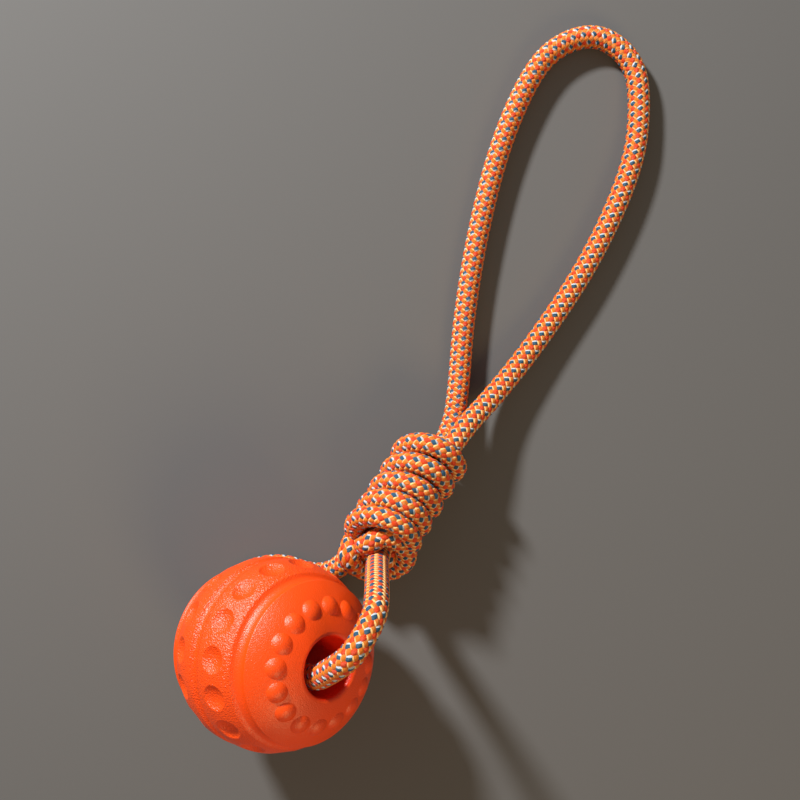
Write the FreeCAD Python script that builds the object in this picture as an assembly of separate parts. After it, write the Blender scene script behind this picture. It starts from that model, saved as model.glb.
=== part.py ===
"""Dog training ball on a rope: a moulded rubber ball that turns on one length of braided rope.

The rope passes through the ball's bore, its two legs run into a coil knot, and out of the
knot's other end comes a long hand loop. The toy lies on its side on a flat surface.

Frame, in millimetres: the origin is on the surface, under the ball's centre. +Z is up and
+Y runs from the ball to the far end of the hand loop.
"""
import FreeCAD, Part
import math
import os

from FreeCAD import Placement, Rotation, Vector

os.makedirs("parts", exist_ok=True)

# ---------------------------------------------------------------- ball: driving sizes
BALL_D = 70.0            # over the two dimpled belts
BALL_LENGTH = 66.2       # along the bore, from mouth to mouth
BORE_D = 21.2            # through hole for the rope
MOUTH_ROUND = 1.6        # rounding of the bore's two mouths

GROOVE_W = 4.6           # groove round the ball's middle
GROOVE_DEPTH = 1.2
GROOVE_ROUND = 0.45
PARTING_OFFSET = 0.75    # parting line, from the groove's edge
PARTING_W = 0.30
PARTING_DEPTH = 0.22

BELT_CREST_T = 4.0       # where a belt is widest, from the ball's middle
SHOULDER_DROP = 3.9      # belt's outer edge below the widest radius
SHOULDER_ROUND = 1.3
COVE_W = 5.7             # hollow between the belt and the side face
COVE_DEPTH = 1.5
LIP_DROP = 5.7           # raised lip round the side face, below the widest radius
LIP_DEPTH = 10.2         # and below the bore's mouth
LIP_ROUND = 0.55
FACE_CROWN_DROP = 3.5    # side face at its ring of bumps, below the bore's mouth

RING_COUNT = 16          # bumps in a ring, and dimples in a belt
RING_PHASE_DEG = 12.3    # first bump and first dimple, about the bore
BUMP_RING_INSET = 8.3    # from the lip to the middle of a bump
BUMP_BASE_D = 6.9
BUMP_HEIGHT = 1.3
BUMP_FOOT_ROUND = 0.35
DIMPLE_SHIFT = 0.55      # centre of a dimple, outwards of the belt's middle
DIMPLE_MARGIN = 2.35     # belt left beside a dimple, on the average of its two sides
DIMPLE_DISH_R = 8.125    # radius of the hollow itself
DIMPLE_RIM_ROUND = 0.6

# The ball lies on one side face, with its bore leaning over.
BORE_TILT_DEG = 43.3     # of the bore from upright
BORE_AZIMUTH_DEG = 29.1  # of the raised mouth, from +X towards +Y

# ---------------------------------------------------------------- rope: driving sizes
ROPE_D = 9.0
KNOT_TURNS = 5                # turns about the knot's axis, before the last turn round the leg
KNOT_PITCH = 0.906 * ROPE_D   # the turns press together to a little under the rope's diameter
KNOT_COIL_R = 1.178 * ROPE_D  # from the knot's axis to the middle of the rope
KNOT_LIFT = 1.0               # of the coil's upper end above the surface
KNOT_AXIS = Vector(-3.8, -39.8, 7.2)      # from the coil's upper end towards the ball
LAST_TURN_XY = (18.3, 46.4)   # the knot is placed by its end beside the ball
LAST_TURN_R = 1.244 * ROPE_D  # the last turn goes round the upper leg
LAST_TURN_AXIS = Vector(0.363, -0.713, 0.600)
LAST_TURN_BEYOND = (0.19, -0.929, -0.370)  # its centre from the coil's end, in rope diameters

# Route of the hand loop, from the knot along the surface and back to the knot.
LOOP_ROUTE = [
    (22.6, 93.5, 11.4), (23.2, 104.0, 9.3), (18.6, 119.0, 5.2), (7.0, 146.4, 4.5),
    (-4.6, 182.7, 4.5), (-12.5, 219.3, 4.5), (-13.8, 251.0, 4.5), (-7.5, 266.4, 4.5),
    (4.6, 275.2, 4.5), (21.2, 271.6, 4.5), (31.2, 257.8, 4.5), (40.6, 233.6, 4.5),
    (42.8, 192.0, 4.5), (37.9, 151.0, 4.8), (31.4, 121.5, 8.6), (26.2, 106.0, 16.4),
    (24.6, 94.0, 20.4),
]

# Route of the rope between the knot and the ball: down the upper leg, through the bore,
# under the ball along the surface, and up the lower leg.
BIGHT_ROUTE = [
    (18.6, 65.5, 19.3), (18.3, 55.0, 16.5), (19.4, 45.4, 22.0), (20.9, 43.6, 45.6),
    (22.8, 40.8, 61.8), (24.6, 36.5, 73.6), (23.5, 22.5, 77.9), (20.0, 13.0, 70.3),
    (16.4, 2.7, 56.2), (1.3, -3.1, 36.8), (-13.6, -9.8, 19.5), (-25.6, -11.9, 8.9),
    (-32.1, -3.4, 4.7), (-28.0, 11.6, 4.7), (-15.4, 23.6, 4.7), (0.0, 25.4, 4.7),
    (7.6, 31.6, 4.8), (10.6, 43.5, 7.4), (15.6, 56.0, 16.0), (16.9, 63.0, 19.5),
]

BALL_R = BALL_D / 2
BORE_R = BORE_D / 2
ROPE_R = ROPE_D / 2
Z_AXIS = Vector(0, 0, 1)


# ---------------------------------------------------------------- ball
def circle_through(p, q, s):
    """Centre and radius of the circle through three points of a plane."""
    (ax, ay), (bx, by), (cx, cy) = p, q, s
    d = 2 * (ax * (by - cy) + bx * (cy - ay) + cx * (ay - by))
    pa, pb, pc = ax * ax + ay * ay, bx * bx + by * by, cx * cx + cy * cy
    x = (pa * (by - cy) + pb * (cy - ay) + pc * (ay - by)) / d
    y = (pa * (cx - bx) + pb * (ax - cx) + pc * (bx - ax)) / d
    return (x, y), math.hypot(ax - x, ay - y)


# Points of the ball's half section, each as (radius, distance from the ball's middle).
GROOVE_EDGE = (BALL_R - 0.05, GROOVE_W / 2)
BELT_CREST = (BALL_R, BELT_CREST_T)
LIP = (BALL_R - LIP_DROP, BALL_LENGTH / 2 - LIP_DEPTH)
SHOULDER = (BALL_R - SHOULDER_DROP, LIP[1] - COVE_W)
COVE = ((SHOULDER[0] + LIP[0]) / 2 - COVE_DEPTH, (SHOULDER[1] + LIP[1]) / 2)
BUMP_RING_R = LIP[0] - BUMP_RING_INSET
FACE_CROWN = (BUMP_RING_R, BALL_LENGTH / 2 - FACE_CROWN_DROP)
DIMPLE_T = (GROOVE_EDGE[1] + SHOULDER[1]) / 2 + DIMPLE_SHIFT
DIMPLE_D = SHOULDER[1] - GROOVE_EDGE[1] - 2 * DIMPLE_MARGIN
DIMPLE_DEPTH = DIMPLE_DISH_R - math.sqrt(DIMPLE_DISH_R ** 2 - (DIMPLE_D / 2) ** 2)
MOUTH = (BORE_R, BALL_LENGTH / 2)


def belt_normal_at(t):
    """Point of the belt at distance t from the middle, and its outward normal."""
    (cr, ct), radius = circle_through(GROOVE_EDGE, BELT_CREST, SHOULDER)
    r = cr + math.sqrt(radius ** 2 - (t - ct) ** 2)
    return (r, t), ((r - cr) / radius, (t - ct) / radius)


def face_normal_at(r):
    """Point of the side face at radius r, and its outward normal."""
    (cr, ct), radius = circle_through(LIP, FACE_CROWN, MOUTH)
    t = ct + math.sqrt(radius ** 2 - (r - cr) ** 2)
    return (r, t), ((r - cr) / radius, (t - ct) / radius)


def section_arc(p, q, s):
    return Part.Arc(*[Vector(r, 0, t) for r, t in (p, q, s)]).toShape()


def mirrored(point):
    return (point[0], -point[1])


def ball_section():
    """Closed outline of one side of the ball's section, with the bore as its inner edge."""
    groove_floor = (BALL_R - GROOVE_DEPTH, 0)
    edges = [section_arc(mirrored(GROOVE_EDGE), groove_floor, GROOVE_EDGE)]
    for side in (lambda p: p, mirrored):
        edges.append(section_arc(side(GROOVE_EDGE), side(BELT_CREST), side(SHOULDER)))
        edges.append(section_arc(side(SHOULDER), side(COVE), side(LIP)))
        edges.append(section_arc(side(LIP), side(FACE_CROWN), side(MOUTH)))
    ends = [Vector(BORE_R, 0, t) for t in (BALL_LENGTH / 2, -BALL_LENGTH / 2)]
    edges.append(Part.LineSegment(*ends).toShape())
    return Part.Face(Part.Wire(Part.__sortEdges__(edges)))


def round_ring(solid, ring, radius):
    """Round the circular edges of the body that run through a section point and its mirror."""
    def on_ring(edge):
        curve = edge.Curve
        return (isinstance(curve, Part.Circle) and abs(curve.Radius - ring[0]) < 0.01
                and abs(abs(curve.Center.z) - ring[1]) < 0.01)
    return solid.makeFillet(radius, [e for e in solid.Edges if on_ring(e)])


def parting_line():
    """Fine cut that the mould's joint leaves beside the groove."""
    (r, t), _ = belt_normal_at(GROOVE_W / 2 + PARTING_OFFSET)
    half = PARTING_W / 2
    corners = [Vector(r + half, 0, t - half), Vector(r - PARTING_DEPTH, 0, t),
               Vector(r + half, 0, t + half)]
    outline = Part.makePolygon(corners + corners[:1])
    return Part.Face(outline).revolve(Vector(), Z_AXIS, 360)


def ring_of_balls(point, normal, cap_d, cap_height, outward):
    """Spheres round the ball whose caps make one ring of bumps, or of dimples."""
    radius = ((cap_d / 2) ** 2 + cap_height ** 2) / (2 * cap_height)
    depth = radius - cap_height
    reach = -depth if outward else depth
    centre = Vector(point[0] + reach * normal[0], 0, point[1] + reach * normal[1])
    spheres = []
    for side in (1, -1):
        for k in range(RING_COUNT):
            turn = Rotation(Z_AXIS, RING_PHASE_DEG + k * 360 / RING_COUNT)
            at = turn.multVec(Vector(centre.x, 0, side * centre.z))
            spheres.append(Part.makeSphere(radius, at))
    return spheres


def round_marks(solid, spheres, radius):
    """Round the edges where spheres of one size meet the ball's skin."""
    size = spheres[0].Faces[0].Surface.Radius

    def on_sphere(face):
        return isinstance(face.Surface, Part.Sphere) and abs(face.Surface.Radius - size) < 1e-6

    shared = {}
    for face in solid.Faces:
        for edge in face.Edges:
            shared.setdefault(edge.hashCode(), [edge, []])[1].append(on_sphere(face))
    rims = [edge for edge, sides in shared.values() if any(sides) and not all(sides)]
    return solid.makeFillet(radius, rims)


def make_ball():
    """The ball about its own bore, centred on the origin with the bore along Z."""
    ball = ball_section().revolve(Vector(), Z_AXIS, 360)
    ball = round_ring(ball, GROOVE_EDGE, GROOVE_ROUND)
    ball = round_ring(ball, SHOULDER, SHOULDER_ROUND)
    ball = round_ring(ball, LIP, LIP_ROUND)
    ball = round_ring(ball, MOUTH, MOUTH_ROUND)
    ball = ball.cut(parting_line())
    bumps = ring_of_balls(*face_normal_at(BUMP_RING_R), BUMP_BASE_D, BUMP_HEIGHT, True)
    dimples = ring_of_balls(*belt_normal_at(DIMPLE_T), DIMPLE_D, DIMPLE_DEPTH, False)
    ball = ball.fuse(bumps)
    ball = round_marks(ball, bumps, BUMP_FOOT_ROUND)
    ball = ball.cut(Part.makeCompound(dimples))
    return round_marks(ball, dimples, DIMPLE_RIM_ROUND)


def lean_of_ball():
    lean = Rotation(Vector(0, 1, 0), BORE_TILT_DEG)
    return Placement(Vector(), Rotation(Z_AXIS, BORE_AZIMUTH_DEG).multiply(lean))


def rest_on_surface(shape):
    """Height that brings the lowest point of the shape to the surface, and the moved shape."""
    span = 4 * BALL_D
    below = -span
    floor = Part.makePlane(span, span, Vector(-span / 2, -span / 2, below))
    lowest = below + shape.distToShape(floor)[0]
    shape.translate(Vector(0, 0, -lowest))
    return -lowest, shape


# ---------------------------------------------------------------- rope
def route_wire(points):
    """Straight runs joined by tangent arcs, each as large as its two runs allow."""
    points = [Vector(*p) for p in points]
    edges, radii, start = [], [], points[0]
    for before, corner, after in zip(points, points[1:], points[2:]):
        way_in, way_out = corner - before, after - corner
        tangent = 0.45 * min(way_in.Length, way_out.Length)
        half_turn = way_in.getAngle(way_out) / 2
        radius = tangent / math.tan(half_turn)
        way_in.normalize()
        way_out.normalize()
        inwards = (way_out - way_in).normalize()
        first, last = corner - way_in * tangent, corner + way_out * tangent
        middle = corner + inwards * (radius / math.cos(half_turn) - radius)
        edges.append(Part.LineSegment(start, first).toShape())
        edges.append(Part.Arc(first, middle, last).toShape())
        radii.append(radius)
        start = last
    edges.append(Part.LineSegment(start, points[-1]).toShape())
    return Part.Wire(edges), radii


def make_rope(name, points):
    wire, radii = route_wire(points)
    first_edge = wire.OrderedEdges[0]
    heading = first_edge.tangentAt(first_edge.FirstParameter)
    section = Part.Wire(Part.makeCircle(ROPE_R, Vector(*points[0]), heading))
    rope = wire.makePipeShell([section], True, True)
    expected = math.pi * ROPE_R ** 2 * wire.Length
    print(name, "length %.1f mm, smallest radius %.1f mm" % (wire.Length, min(radii)))
    print("  radii", [round(r) for r in radii], "volume/expected %.4f" % (rope.Volume / expected))
    return rope


def knot_turn(k):
    """Outer half of one turn of the coil, as an arc of the knot's section."""
    half = KNOT_PITCH / 2
    valley = KNOT_COIL_R + math.sqrt(ROPE_R ** 2 - half ** 2)
    middle = (k + 0.5) * KNOT_PITCH
    return section_arc((valley, middle - half), (KNOT_COIL_R + ROPE_R, middle),
                       (valley, middle + half)), valley


def make_knot():
    """Outer shape of the coil: a ridged barrel, and the last turn as a ring on its end."""
    edges = [knot_turn(k)[0] for k in range(KNOT_TURNS)]
    valley, length = knot_turn(0)[1], KNOT_TURNS * KNOT_PITCH
    corners = [Vector(valley, 0, length), Vector(0, 0, length), Vector(), Vector(valley, 0, 0)]
    for a, b in zip(corners, corners[1:]):
        edges.append(Part.LineSegment(a, b).toShape())
    barrel = Part.Face(Part.Wire(Part.__sortEdges__(edges))).revolve(Vector(), Z_AXIS, 360)
    axis = Vector(KNOT_AXIS).normalize()
    beyond = axis * length + Vector(*LAST_TURN_BEYOND) * ROPE_D
    top = Vector(*LAST_TURN_XY, 0) - Vector(beyond.x, beyond.y, 0)
    top.z = KNOT_LIFT + KNOT_COIL_R + ROPE_R
    barrel.Placement = Placement(top, Rotation(Z_AXIS, axis))
    last_turn_at = top + beyond
    print("last turn at (%.1f, %.1f, %.1f)" % tuple(last_turn_at))
    last_turn = Part.makeTorus(LAST_TURN_R, ROPE_R, last_turn_at, LAST_TURN_AXIS)
    return barrel.fuse(last_turn).removeSplitter()


# ---------------------------------------------------------------- build
def only_solid(name, shape):
    solids = shape.Solids
    if len(solids) != 1 or not shape.isValid():
        raise ValueError("%s has %d solids, valid: %s" % (name, len(solids), shape.isValid()))
    return solids[0]


def main():
    ball = make_ball()
    ball.Placement = lean_of_ball()
    height, ball = rest_on_surface(ball)
    bore = lean_of_ball().Rotation.multVec(Z_AXIS)
    print("ball centre height %.3f mm, bore axis (%.5f, %.5f, %.5f)" % (height, *bore))

    pieces = {
        "ball": ball,
        "rope_loop": make_rope("rope_loop", LOOP_ROUTE),
        "rope_knot": make_knot(),
        "rope_bight": make_rope("rope_bight", BIGHT_ROUTE),
    }
    for name, shape in pieces.items():
        only_solid(name, shape).exportStep("parts/%s.step" % name)
        print("%s: volume %.1f cm3" % (name, shape.Volume / 1000))


main()
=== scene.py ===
"""Looks of a dog training ball on a braided rope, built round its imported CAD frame.

Everything is in metres: Z is up, and +Y runs from the ball to the far end of the hand loop.
"""
import math

import bpy
import numpy as np
from mathutils import Euler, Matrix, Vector

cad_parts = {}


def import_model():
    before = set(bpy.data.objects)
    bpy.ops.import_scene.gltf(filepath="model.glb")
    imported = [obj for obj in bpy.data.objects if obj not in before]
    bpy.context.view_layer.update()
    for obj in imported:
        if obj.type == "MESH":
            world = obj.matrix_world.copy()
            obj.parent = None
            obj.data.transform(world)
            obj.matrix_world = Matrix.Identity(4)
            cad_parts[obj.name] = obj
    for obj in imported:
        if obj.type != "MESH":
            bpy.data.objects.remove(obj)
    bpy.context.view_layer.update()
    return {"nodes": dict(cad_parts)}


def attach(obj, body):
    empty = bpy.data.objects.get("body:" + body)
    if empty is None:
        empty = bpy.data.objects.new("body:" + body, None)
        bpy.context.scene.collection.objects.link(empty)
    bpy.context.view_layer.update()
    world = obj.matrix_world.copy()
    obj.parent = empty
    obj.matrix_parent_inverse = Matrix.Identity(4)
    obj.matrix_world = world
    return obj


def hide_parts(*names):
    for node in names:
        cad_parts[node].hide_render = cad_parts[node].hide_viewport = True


MM = 0.001

# ---------------------------------------------------------------- rope: route and braid
ROPE_D = 0.009

# The routes are the same as the CAD's, in metres.
LOOP_ROUTE = [
    (0.0226, 0.0935, 0.0114), (0.0232, 0.1040, 0.0093), (0.0186, 0.1190, 0.0052),
    (0.0070, 0.1464, 0.0045), (-0.0046, 0.1827, 0.0045), (-0.0125, 0.2193, 0.0045),
    (-0.0138, 0.2510, 0.0045), (-0.0075, 0.2664, 0.0045), (0.0046, 0.2752, 0.0045),
    (0.0212, 0.2716, 0.0045), (0.0312, 0.2578, 0.0045), (0.0406, 0.2336, 0.0045),
    (0.0428, 0.1920, 0.0045), (0.0379, 0.1510, 0.0048), (0.0314, 0.1215, 0.0086),
    (0.0262, 0.1060, 0.0164), (0.0246, 0.0940, 0.0204),
]
BIGHT_ROUTE = [
    (0.0186, 0.0655, 0.0193), (0.0183, 0.0550, 0.0165), (0.0194, 0.0454, 0.0220),
    (0.0209, 0.0436, 0.0456), (0.0228, 0.0408, 0.0618), (0.0246, 0.0365, 0.0736),
    (0.0235, 0.0225, 0.0779), (0.0200, 0.0130, 0.0703), (0.0164, 0.0027, 0.0562),
    (0.0013, -0.0031, 0.0368), (-0.0136, -0.0098, 0.0195), (-0.0256, -0.0119, 0.0089),
    (-0.0321, -0.0034, 0.0047), (-0.0280, 0.0116, 0.0047), (-0.0154, 0.0236, 0.0047),
    (0.0000, 0.0254, 0.0047), (0.0076, 0.0316, 0.0048), (0.0106, 0.0435, 0.0074),
    (0.0156, 0.0560, 0.0160), (0.0169, 0.0630, 0.0195),
]

# The knot: a right-handed coil about an axis, then one turn round the upper leg. Turns are
# counted from the first crown, which is the turn's top.
COIL_TOP = Vector((0.0204, 0.0947, 0.0161))   # end of the axis beside the hand loop
COIL_AXIS = Vector((-3.8, -39.8, 7.2)).normalized()
COIL_R = 0.0106
COIL_PITCH = 0.00825
COIL_TURNS = (-0.45, 4.62)   # where the coil starts and ends
TURN_SHIFTS = [0.0016, 0.0019, 0.0025, 0.0023, 0.0020]   # of each crown along the axis
TURN_EXTRA_R = [0.0003, -0.0001, 0.0001, 0.0001, 0.0006]
COIL_LEAN = 0.44             # how far the crowns lean towards the hand loop, as a slope
TUCKED_START = 0.006         # first point of the rope inside the coil, from COIL_TOP
TUCKED_STRAND = [            # inside, from the coil to the last turn
    (0.0225, 0.0545, 0.0160), (0.0165, 0.0550, 0.0135), (0.0105, 0.0545, 0.0140),
    (0.0076, 0.0505, 0.0165),
]
LAST_TURN_AT = Vector((0.0182, 0.0474, 0.0204))
LAST_TURN_AXIS = Vector((0.305, -0.599, 0.740))
LAST_TURN_RIGHT = Vector((0.891, 0.454, 0.0))
LAST_TURN_R = 0.0117
LAST_TURN_DEG = (-175, 80)   # where it starts and ends; 0 is at its right, 90 at its crown
TUCKED_END = [(0.0135, 0.0500, 0.0270), (0.0122, 0.0478, 0.0200), (0.0135, 0.0490, 0.0120)]
POINTS_PER_TURN = 16
PRESSED = 0.91               # width of the knot's rope along the axis, against its other width

# The braid: eight strands each way, plain one-over-one.
STRANDS_EACH_WAY = 8
LEAD = 1.92 * ROPE_D         # along the rope for one turn of a strand
LOOP_LEADS = (1.75 * ROPE_D, 2.20 * ROPE_D)   # the braid is drawn out towards the loop's end
STRAND_MID_R = 0.00380       # from the rope's middle to the middle of a strand
STRAND_WAVE = 0.00033        # how far a strand rises and dips over its neighbours
STRAND_STEP = 1.6            # how sharply it does so
STRAND_HALF_W = 0.00098
STRAND_CROWN = 0.00042       # how far a strand's middle stands above its edges
STRAND_ACROSS = (-1.0, -0.78, -0.3, 0.3, 0.78, 1.0)   # points across a strand
STEPS_PER_LEAD = 48
CORE_R = 0.0034              # a core shows in the gaps between strands; its dark colour is painted shade
CORE_SIDES = 16
CORE_STEPS_PER_LEAD = 12
FLECK, RED, AMBER, CORE = range(4)   # material slots of a braid

# ---------------------------------------------------------------- ball
# The ball's place and lean in the frame, and the edges of its belts and its bore.
BALL_CENTRE = (0.0, 0.0, 0.03716)
BORE_TILT_DEG = 43.3
BORE_AZIMUTH_DEG = 29.1
BORE_R = 0.0106
BORE_SHADE_FADE = 0.0012           # over which the painted shade of the bore fades out
BELT_EDGE = 0.0180           # from the ball's middle along the bore
BELT_FADE = 0.001            # over which the belts' stipple fades out
STIPPLE = 0.00030            # height of the skin's grain
BELT_GRAIN = (1900.0, 0.0)   # scale and detail of the belts' stipple
FINE_GRAIN = (2600.0, 1.0)   # and of the grain that is all over
FINE_GRAIN_SHARE = 0.55      # height of the fine grain, against the stipple's

# ---------------------------------------------------------------- colours, linear
RUBBER = (0.91, 0.073, 0.001)
# painted shade: the bore's deeper red stands in for the shade and red bounce light inside it;
# the rubber itself is one colour
RUBBER_BORE_SHADE_RED = (1.0, 0.025, 0.004)
YARN_FLECK, YARN_FLECK_EDGE = (0.015, 0.10, 0.19), (0.58, 0.66, 0.72)
YARN_RED = (0.86, 0.062, 0.001)
YARN_AMBER, YARN_AMBER_EDGE = (0.95, 0.22, 0.006), (1.0, 0.62, 0.22)
# painted shade: the core's dark red stands in for the shade in the gaps between the strands
ROPE_CORE_SHADE = (0.20, 0.012, 0.002)
FLOOR = (0.12, 0.118, 0.115)


# ---------------------------------------------------------------- rope geometry
def spline_line(name, route):
    """Points along the smooth line of a route, which is its NURBS control polygon."""
    data = bpy.data.curves.new(name, "CURVE")
    data.dimensions = "3D"
    data.resolution_u = 16
    spline = data.splines.new("NURBS")
    spline.points.add(len(route) - 1)
    for point, at in zip(spline.points, route):
        point.co = (*at, 1.0)
    spline.order_u = 3
    spline.use_endpoint_u = True
    curve = bpy.data.objects.new(name, data)
    mesh = bpy.data.meshes.new_from_object(curve)
    line = np.array([v.co[:] for v in mesh.vertices])
    bpy.data.objects.remove(curve)
    bpy.data.meshes.remove(mesh)
    bpy.data.curves.remove(data)
    return line


class RopeLine:
    """A centreline with a frame that doesn't twist, read at any distance along it."""

    def __init__(self, line, leads=(LEAD, LEAD), pressed_along=None, step=0.0004):
        self.leads, self.pressed_along = leads, pressed_along
        gaps = np.linalg.norm(np.diff(line, axis=0), axis=1)
        keep = np.concatenate([[True], gaps > 1e-7])
        line = line[keep]
        along = np.concatenate([[0], np.cumsum(np.linalg.norm(np.diff(line, axis=0), axis=1))])
        self.length = along[-1]
        self.s = np.linspace(0, self.length, int(self.length / step) + 1)
        self.at = np.stack([np.interp(self.s, along, line[:, k]) for k in range(3)], axis=1)
        tangent = np.gradient(self.at, axis=0)
        tangent /= np.linalg.norm(tangent, axis=1)[:, None]
        normal = np.zeros_like(tangent)
        first = np.cross(tangent[0], (0.0, 0.0, 1.0))
        if np.linalg.norm(first) < 0.1:
            first = np.cross(tangent[0], (1.0, 0.0, 0.0))
        normal[0] = first / np.linalg.norm(first)
        for k in range(1, len(tangent)):
            n = normal[k - 1] - tangent[k] * np.dot(normal[k - 1], tangent[k])
            normal[k] = n / np.linalg.norm(n)
        self.normal = normal
        self.binormal = np.cross(tangent, normal)

    def turns(self, s):
        """How often a strand has gone round the rope at a distance along it."""
        first, last = 1 / self.leads[0], 1 / self.leads[1]
        return s * first + (last - first) * s ** 2 / (2 * self.length)

    def read(self, values, s):
        return np.stack([np.interp(s, self.s, values[:, k]) for k in range(3)], axis=-1)

    def surface(self, s, angle, radius):
        """Points at an angle and a radius about the line, at distances s along it."""
        s = np.clip(s, 0, self.length)
        out = (np.cos(angle)[..., None] * self.read(self.normal, s)
               + np.sin(angle)[..., None] * self.read(self.binormal, s))
        radius = radius * np.ones_like(angle)
        if self.pressed_along is not None:
            side = np.abs(out @ np.array(self.pressed_along))
            radius = radius / np.sqrt((side / PRESSED) ** 2 + 1 - side ** 2)
        return self.read(self.at, s) + out * radius[..., None]


def grid_faces(rows, columns, first, closed=False):
    """Quads of a grid of points numbered row by row."""
    row, column = np.meshgrid(np.arange(rows - 1), np.arange(columns - (0 if closed else 1)),
                              indexing="ij")
    beside = (column + 1) % columns
    return first + np.stack([row * columns + column, row * columns + beside,
                             (row + 1) * columns + beside, (row + 1) * columns + column],
                            axis=-1).reshape(-1, 4)


def strand(line, way, index):
    """Points and strand coordinates of one strand: way is 1 or -1, its turning sense."""
    steps = int(line.length / LEAD * STEPS_PER_LEAD)
    s = np.linspace(0, line.length, steps)[:, None]
    across = np.array(STRAND_ACROSS)[None, :]
    turn = 2 * math.pi * line.turns(s)
    slope = math.atan(2 * math.pi * STRAND_MID_R / LEAD)
    wave = STRAND_WAVE * np.tanh(STRAND_STEP * np.cos(STRANDS_EACH_WAY * turn))
    radius = STRAND_MID_R + way * wave + STRAND_CROWN * (1 - np.abs(across) ** 3)
    angle = (way * turn + 2 * math.pi * index / STRANDS_EACH_WAY
             + math.cos(slope) * across * STRAND_HALF_W / STRAND_MID_R)
    shifted = s - way * math.sin(slope) * across * STRAND_HALF_W
    points = line.surface(shifted, angle, radius)
    coordinates = np.stack(np.broadcast_arrays(line.turns(s), across / 2 + 0.5), axis=-1)
    return points.reshape(-1, 3), coordinates.reshape(-1, 2), steps


def braid_mesh(name, line):
    """One mesh of all the strands and the core under them, with a material for each yarn."""
    points, coordinates, faces, slots, count = [], [], [], [], 0

    def add(p, uv, quads, slot):
        nonlocal count
        points.append(p)
        coordinates.append(uv)
        faces.append(quads)
        slots.append(np.full(len(quads), slot))
        count += len(p)

    for way in (1, -1):
        for index in range(STRANDS_EACH_WAY):
            p, uv, rows = strand(line, way, index)
            slot = AMBER if way < 0 else (FLECK, RED)[index % 2]
            add(p, uv, grid_faces(rows, len(STRAND_ACROSS), count), slot)
    rows = int(line.length / LEAD * CORE_STEPS_PER_LEAD)
    s = np.linspace(0, line.length, rows)[:, None]
    around = np.linspace(0, 2 * math.pi, CORE_SIDES, endpoint=False)[None, :]
    core = line.surface(s, around + 0 * s, CORE_R)
    uv = np.stack(np.broadcast_arrays(s / LEAD, around), axis=-1).reshape(-1, 2)
    add(core.reshape(-1, 3), uv, grid_faces(rows, CORE_SIDES, count, closed=True), CORE)

    points, coordinates = np.concatenate(points), np.concatenate(coordinates)
    faces, slots = np.concatenate(faces), np.concatenate(slots)
    mesh = bpy.data.meshes.new(name)
    mesh.from_pydata(points.tolist(), [], faces.tolist())
    layer = mesh.uv_layers.new(name="strand")
    layer.data.foreach_set("uv", coordinates[faces.reshape(-1)].reshape(-1))
    mesh.polygons.foreach_set("material_index", slots.astype(np.int32))
    mesh.polygons.foreach_set("use_smooth", np.ones(len(faces), bool))
    mesh.update()
    return mesh


def coil_points(first_turn, last_turn):
    """Control points of the coil between two turns."""
    up = (Vector((0, 0, 1)) - COIL_AXIS * COIL_AXIS.z).normalized()
    right = up.cross(COIL_AXIS)
    points = []
    for k in range(round(first_turn * POINTS_PER_TURN), round(last_turn * POINTS_PER_TURN) + 1):
        turn = k / POINTS_PER_TURN
        a = -2 * math.pi * turn
        numbers = range(len(TURN_SHIFTS))
        radius = COIL_R + float(np.interp(turn, numbers, TURN_EXTRA_R))
        along = ((turn + 0.5) * COIL_PITCH + float(np.interp(turn, numbers, TURN_SHIFTS))
                 - COIL_LEAN * radius * math.cos(a))
        points.append(COIL_TOP + COIL_AXIS * along
                      + radius * (math.cos(a) * up + math.sin(a) * right))
    return points


def last_turn_points(start_deg, stop_deg):
    """Control points of the turn round the upper leg."""
    axis = LAST_TURN_AXIS.normalized()
    right = (LAST_TURN_RIGHT - axis * LAST_TURN_RIGHT.dot(axis)).normalized()
    crown = axis.cross(right)
    count = round((stop_deg - start_deg) / 360 * POINTS_PER_TURN)
    angles = [math.radians(start_deg + (stop_deg - start_deg) * k / count)
              for k in range(count + 1)]
    return [LAST_TURN_AT + LAST_TURN_R * (math.cos(a) * right + math.sin(a) * crown)
            for a in angles]


def knot_route():
    """From inside the knot's upper end, round the coil, round the upper leg and back inside."""
    inside_top = [COIL_TOP + COIL_AXIS * TUCKED_START]
    return (inside_top + coil_points(*COIL_TURNS) + [Vector(p) for p in TUCKED_STRAND]
            + last_turn_points(*LAST_TURN_DEG) + [Vector(p) for p in TUCKED_END])


# ---------------------------------------------------------------- materials
class Material:
    """A material in the making. A socket is given a number, a colour or a node's output."""

    def __init__(self, name, **uniform):
        self.made = bpy.data.materials.new(name)
        self.made.use_nodes = True
        self.tree = self.made.node_tree
        self.shader = self.tree.nodes["Principled BSDF"]
        self.feed(self.shader, {key.replace("_", " "): value for key, value in uniform.items()})

    def feed(self, node, sockets):
        for key, value in sockets.items():
            if isinstance(value, bpy.types.NodeSocket):
                self.tree.links.new(value, node.inputs[key])
            else:
                node.inputs[key].default_value = value

    def add(self, kind, sockets, output=0, **settings):
        """Add a node, and return one of its outputs."""
        node = self.tree.nodes.new("ShaderNode" + kind)
        for key, value in settings.items():
            setattr(node, key, value)
        self.feed(node, sockets)
        return node.outputs[output]

    def compute(self, operation, a, b=0.0):
        return self.add("Math", {0: a, 1: b}, operation=operation)

    def mix(self, factor, first, second):
        first, second = [c if isinstance(c, bpy.types.NodeSocket) else (*c, 1)
                         for c in (first, second)]
        return self.add("Mix", {"Factor": factor, 6: first, 7: second}, 2, data_type="RGBA")

    def bump(self, height, strength, distance):
        normal = self.add("Bump", {"Height": height, "Strength": strength,
                                   "Distance": distance})
        self.feed(self.shader, {"Normal": normal})


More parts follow.
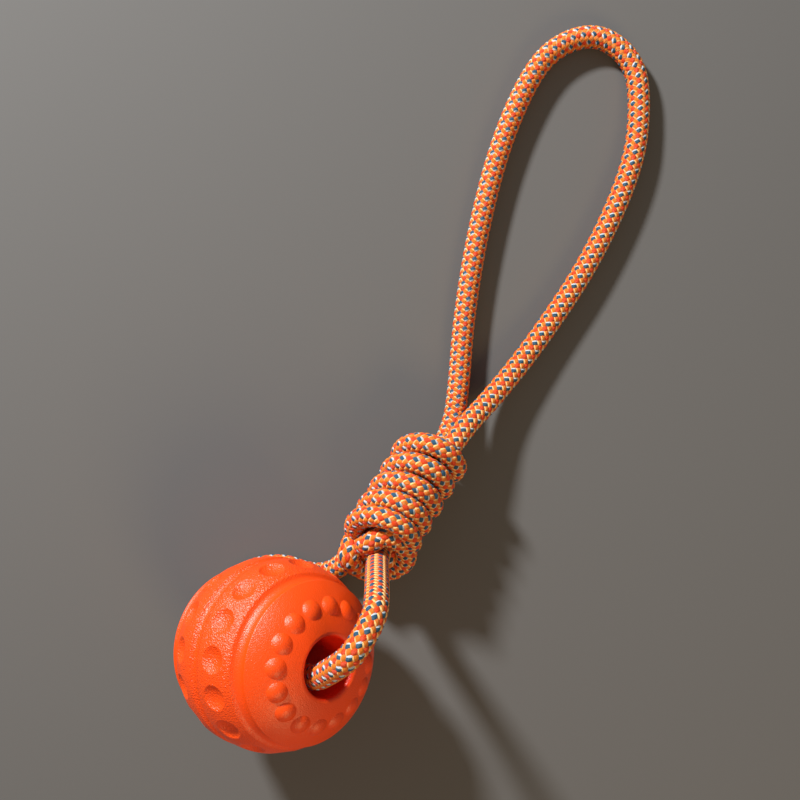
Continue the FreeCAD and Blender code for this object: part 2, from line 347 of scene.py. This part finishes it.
def yarn_material(name, colour, edge=None, edge_from=1.0):
    """Twisted yarn, uneven in colour. Its edge can have another colour, from a share across."""
    yarn = Material(name, Roughness=0.55, Sheen_Weight=0.08, Sheen_Roughness=0.4)
    uv = yarn.add("UVMap", {}, uv_map="strand")
    stretched = yarn.add("Mapping", {"Vector": uv, "Scale": (14, 7, 1)})
    noise = yarn.add("TexNoise", {"Vector": stretched, "Scale": 1.0, "Detail": 2.0}, "Fac")
    result = yarn.mix(noise, [0.62 * c for c in colour], [min(1.0, 1.18 * c) for c in colour])
    if edge:
        share_across = yarn.add("SeparateXYZ", {"Vector": uv}, "Y")
        result = yarn.mix(yarn.compute("GREATER_THAN", share_across, edge_from), result, edge)
    yarn.feed(yarn.shader, {"Base Color": result})
    ridges = yarn.add("TexWave", {"Vector": stretched, "Scale": 0.65, "Distortion": 1.2,
                                  "Detail": 1.0}, "Fac", bands_direction="Y")
    yarn.bump(ridges, 0.6, 0.00012)
    return yarn.made


def rubber_material():
    """Moulded rubber: stippled belts, fine grain all over, and a deeper red painted in the bore
    as its shade and red bounce light.
    """
    rubber = Material("ball_rubber", Roughness=0.36, Specular_IOR_Level=0.55)
    place = rubber.add("TexCoord", {}, "Object")
    lean = (0, math.radians(BORE_TILT_DEG), math.radians(BORE_AZIMUTH_DEG))
    own = rubber.add("Mapping", {"Vector": place, "Location": BALL_CENTRE, "Rotation": lean},
                     vector_type="TEXTURE")
    x, y, along = [rubber.add("SeparateXYZ", {"Vector": own}, axis) for axis in "XYZ"]
    out = rubber.compute("SQRT", rubber.compute("ADD", rubber.compute("MULTIPLY", x, x),
                                                rubber.compute("MULTIPLY", y, y)))
    on_belt = rubber.add("MapRange", {"Value": rubber.compute("ABSOLUTE", along),
                                      "From Min": BELT_EDGE, "From Max": BELT_EDGE - BELT_FADE})
    # mask of the painted bore shade, from the bore's edge inwards
    bore_shade_mask = rubber.add("MapRange", {"Value": out, "From Min": BORE_R + BORE_SHADE_FADE,
                                      "From Max": BORE_R})
    stipple, fine = [rubber.add("TexNoise", {"Vector": place, "Scale": scale, "Detail": detail},
                                "Fac")
                     for scale, detail in (BELT_GRAIN, FINE_GRAIN)]
    height = rubber.compute("ADD", rubber.compute("MULTIPLY", stipple, on_belt),
                            rubber.compute("MULTIPLY", fine, FINE_GRAIN_SHARE))
    rubber.bump(height, 1.0, STIPPLE)
    # the bore is painted a deeper red as its shade and bounce light
    rubber.feed(rubber.shader, {"Base Color": rubber.mix(bore_shade_mask, RUBBER, RUBBER_BORE_SHADE_RED)})
    return rubber.made


# ---------------------------------------------------------------- pieces
def add_rope(name, route, yarns, lay="loose", **braid):
    """A braided rope along a route, in place of the CAD node of that name."""
    line = spline_line(name, route)
    rope = RopeLine(line, **braid)
    obj = bpy.data.objects.new(name + "_braid", braid_mesh(name + "_braid", rope))
    bpy.context.scene.collection.objects.link(obj)
    for yarn in yarns:
        obj.data.materials.append(yarn)
    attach(obj, "rope")
    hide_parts(name)
    print(name, "length %.1f mm" % (rope.length / MM))
    return obj


def add_ropes():
    yarns = [        # in the order of the material slots
        yarn_material("yarn_fleck", YARN_FLECK, YARN_FLECK_EDGE, 0.68),
        yarn_material("yarn_red", YARN_RED),
        yarn_material("yarn_amber", YARN_AMBER, YARN_AMBER_EDGE, 0.74),
        # the core's material is painted dark as the shade between strands
        yarn_material("rope_core_shade", ROPE_CORE_SHADE),
    ]
    add_rope("rope_loop", LOOP_ROUTE, yarns, leads=LOOP_LEADS)
    add_rope("rope_knot", knot_route(), yarns, lay="coiled", pressed_along=COIL_AXIS)
    add_rope("rope_bight", BIGHT_ROUTE, yarns)


def add_floor():
    size = 6.0       # half its width
    mesh = bpy.data.meshes.new("floor")
    corners = [(-size, -size, 0), (size, -size, 0), (size, size, 0), (-size, size, 0)]
    mesh.from_pydata(corners, [], [(0, 1, 2, 3)])
    floor = bpy.data.objects.new("floor", mesh)
    bpy.context.scene.collection.objects.link(floor)
    mesh.materials.append(Material("floor", Base_Color=(*FLOOR, 1), Roughness=0.9).made)


# ---------------------------------------------------------------- camera and light
CAMERA_AT = Vector((-0.00102, 0.1051, 0.3919))
CAMERA_TURN_DEG = 27.0
CAMERA_LENS = 42.75
SENSOR = 36.0
TOY_MIDDLE = Vector((0.01, 0.12, 0.02))
WORLD_STRENGTH = 0.20


def add_camera():
    data = bpy.data.cameras.new("camera")
    data.lens = CAMERA_LENS
    data.sensor_width = SENSOR
    data.clip_start, data.clip_end = 0.01, 20
    camera = bpy.data.objects.new("camera", data)
    camera.location = CAMERA_AT
    camera.rotation_euler = Euler((0, 0, math.radians(CAMERA_TURN_DEG)))
    bpy.context.scene.collection.objects.link(camera)
    bpy.context.scene.camera = camera


def add_area(name, azimuth, elevation, distance, size, power, colour=(1, 1, 1)):
    """A soft light that looks at the toy's middle. Azimuth is from +X towards +Y."""
    a, e = math.radians(azimuth), math.radians(elevation)
    way = Vector((math.cos(a) * math.cos(e), math.sin(a) * math.cos(e), math.sin(e)))
    data = bpy.data.lights.new(name, "AREA")
    data.shape = "DISK"
    data.size = size
    data.energy = power
    data.color = colour
    light = bpy.data.objects.new(name, data)
    light.location = TOY_MIDDLE + way * distance
    light.rotation_euler = (-way).to_track_quat("-Z", "Y").to_euler()
    bpy.context.scene.collection.objects.link(light)


def add_lights():
    add_area("key", 155, 31, 1.1, 0.14, 21)
    add_area("fill", -40, 38, 1.3, 0.5, 6, (1.0, 0.66, 0.30))
    world = bpy.data.worlds.new("studio")
    world.use_nodes = True
    background = world.node_tree.nodes["Background"]
    background.inputs["Color"].default_value = (1, 1, 1, 1)
    background.inputs["Strength"].default_value = WORLD_STRENGTH
    bpy.context.scene.world = world
    bpy.context.scene.view_settings.view_transform = "Standard"


def main():
    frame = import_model()
    frame["nodes"]["ball"].data.materials.clear()
    frame["nodes"]["ball"].data.materials.append(rubber_material())
    add_ropes()
    add_floor()
    add_camera()
    add_lights()


main()
